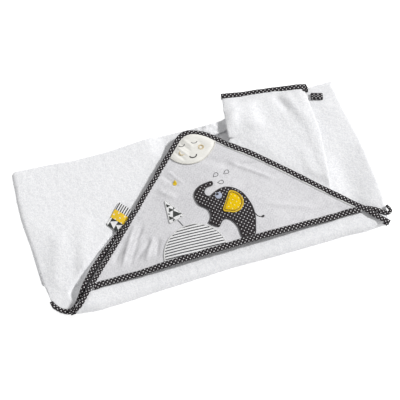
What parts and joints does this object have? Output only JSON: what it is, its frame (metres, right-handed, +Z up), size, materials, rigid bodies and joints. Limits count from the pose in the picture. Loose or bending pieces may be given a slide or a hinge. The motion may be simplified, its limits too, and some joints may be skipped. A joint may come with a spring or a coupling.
{
  "type": "hooded baby towel",
  "caption": "Square terry baby towel folded flat, its lined triangular corner hood on top, with bound edges, appliqued motifs, a ribbon tag and a hanging loop.",
  "frame": {"origin": "middle of the folded bundle, on the surface it lies on", "axes": "+X along the hood's mouth, towards the flap; +Y away from the front fold; +Z up"},
  "size_m": [0.5, 0.268, 0.0339],
  "materials": {
    "terry": "white looped cotton terry",
    "lining": "plain white cotton",
    "chambray": "grey slubby cotton chambray",
    "dotted_tape": "charcoal cotton tape with small white dots",
    "satin": "cream satin, lightly gathered",
    "dark_thread": "charcoal embroidery thread",
    "yellow_thread": "pale yellow embroidery thread",
    "dotted_cotton": "charcoal cotton with small white dots, satin-stitched edge",
    "yellow_cotton": "yellow cotton with small white dots",
    "pale_felt": "pale blue-grey felt",
    "striped_cotton": "white cotton with thin dark stripes",
    "triangle_print": "white cotton printed with small black triangles",
    "printed_ribbon": "folded cotton ribbon in striped, yellow dotted and triangle bands"
  },
  "bodies": {
    "folded_towel": {"bottom_layer": "terry", "middle_layer": "terry", "back_right_layer": "terry", "left_side_panel": "terry", "tucked_panel": "terry", "front_fold_roll": "terry", "left_panel_binding": "dotted_tape", "lower_left_binding": "dotted_tape", "right_corner_binding": "dotted_tape"},
    "hood_section": {"hood_corner_layer": "terry", "hood_lining": "lining", "hood_panel": "chambray", "hood_leg_binding": "dotted_tape", "hood_mouth_binding": "dotted_tape", "moon": "satin", "moon_eye_left": "dark_thread", "moon_eye_right": "dark_thread", "moon_smile": "dark_thread", "moon_cheek_left": "yellow_thread", "moon_cheek_right": "yellow_thread", "elephant_body": "dotted_cotton", "elephant_ear": "yellow_cotton", "elephant_eye": "pale_felt", "elephant_pupil": "dark_thread", "elephant_tail": "dark_thread", "elephant_tail_tuft": "dark_thread", "striped_hill": "striped_cotton", "tree": "triangle_print", "tree_trunk": "dark_thread", "water_drop_1": "dark_thread", "water_drop_2": "dark_thread", "water_drop_3": "dark_thread", "yellow_drop": "yellow_cotton"},
    "right_flap_body": {"right_flap": "terry", "flap_end_binding": "dotted_tape"},
    "side_tag_body": {"side_tag": "printed_ribbon"},
    "hanging_loop_body": {"hanging_loop": "dotted_tape"}
  },
  "joints": [
    {"name": "hood_fold", "type": "hinge", "parent": "folded_towel", "child": "hood_section", "pos_m": [0, -0.1225, 0.0115], "axis": [1, 0, 0], "range_deg": [0, 175]},
    {"name": "flap_lift", "type": "hinge", "parent": "folded_towel", "child": "right_flap_body", "pos_m": [0.123, 0.01031, 0.0139], "axis": [0.7071, -0.7071, 0], "range_deg": [0, 90]},
    {"name": "tag_lift", "type": "hinge", "parent": "hood_section", "child": "side_tag_body", "pos_m": [-0.11389, -0.01197, 0.0181], "axis": [0.7071, 0.7071, 0], "range_deg": [0, 90]},
    {"name": "loop_lift", "type": "hinge", "parent": "folded_towel", "child": "hanging_loop_body", "pos_m": [0.203, 0.1, 0.0128], "axis": [-0.2924, -0.9563, 0], "range_deg": [0, 90]}
  ]
}
